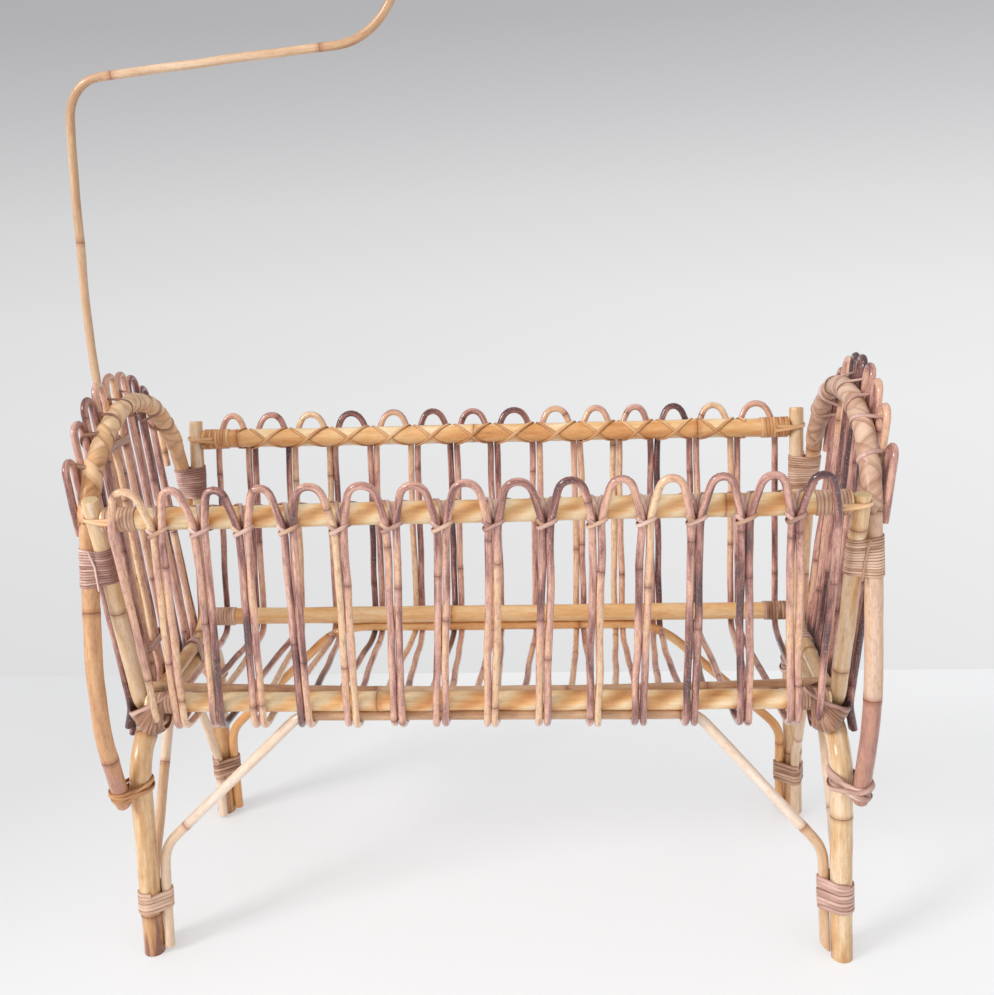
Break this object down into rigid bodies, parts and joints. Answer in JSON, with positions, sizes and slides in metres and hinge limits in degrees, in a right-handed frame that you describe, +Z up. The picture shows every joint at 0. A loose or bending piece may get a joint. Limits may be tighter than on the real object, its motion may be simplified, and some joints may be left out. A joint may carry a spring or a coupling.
{
  "type": "baby cradle",
  "caption": "Rattan baby cradle with an openwork basket of bent cane loops on splayed legs and a bent cane staff that holds a veil over one end.",
  "frame": {"origin": "on the floor under the middle of the cradle", "axes": "+X along the cradle away from the veil staff, +Y from its front side to its rear side, +Z up"},
  "size_m": [1.028, 0.4684, 1.3256],
  "materials": {
    "peeled_cane": "honey varnish",
    "loop_cane": "mauve brown bark, varnished",
    "brace_cane": "pale straw varnish",
    "staff_cane": "pale straw varnish",
    "binding_strip": "split cane strip"
  },
  "bodies": {
    "cradle": {"crossbar_lashings": "binding_strip", "floor_cane": "brace_cane", "foot_lashings": "binding_strip", "front_bottom_rail": "peeled_cane", "front_long_brace": "brace_cane", "front_loop_01": "loop_cane", "front_loop_02": "loop_cane", "front_loop_03": "loop_cane", "front_loop_04": "loop_cane", "front_loop_05": "loop_cane", "front_loop_06": "loop_cane", "front_loop_07": "loop_cane", "front_loop_08": "loop_cane", "front_loop_09": "loop_cane", "front_loop_10": "loop_cane", "front_loop_11": "loop_cane", "front_loop_12": "loop_cane", "front_loop_13": "loop_cane", "front_loop_14": "loop_cane", "front_loop_15": "loop_cane", "front_rail_binding": "binding_strip", "front_top_rail": "peeled_cane", "knee_lashings": "binding_strip", "left_arch": "peeled_cane", "left_arch_binding": "binding_strip", "left_end_brace": "brace_cane", "left_end_loops": "loop_cane", "left_leg_hoop": "peeled_cane", "left_post_hoop": "peeled_cane", "post_lashings": "binding_strip", "rail_end_windings": "binding_strip", "rear_bottom_rail": "peeled_cane", "rear_long_brace": "brace_cane", "rear_loop_01": "loop_cane", "rear_loop_02": "loop_cane", "rear_loop_03": "loop_cane", "rear_loop_04": "loop_cane", "rear_loop_05": "loop_cane", "rear_loop_06": "loop_cane", "rear_loop_07": "loop_cane", "rear_loop_08": "loop_cane", "rear_loop_09": "loop_cane", "rear_loop_10": "loop_cane", "rear_loop_11": "loop_cane", "rear_loop_12": "loop_cane", "rear_loop_13": "loop_cane", "rear_loop_14": "loop_cane", "rear_rail_binding": "binding_strip", "rear_top_rail": "peeled_cane", "right_arch": "peeled_cane", "right_arch_binding": "binding_strip", "right_end_brace": "brace_cane", "right_end_loops": "loop_cane", "right_leg_hoop": "peeled_cane", "right_post_hoop": "peeled_cane", "staff_ties": "binding_strip"},
    "staff": {"veil_staff": "staff_cane"}
  },
  "joints": [
    {"name": "staff_swivel", "type": "hinge", "parent": "cradle", "child": "staff", "pos_m": [-0.48515, -0.019, 0.35], "axis": [-0.0633, 0, 0.998], "range_deg": [-90, 90]}
  ]
}
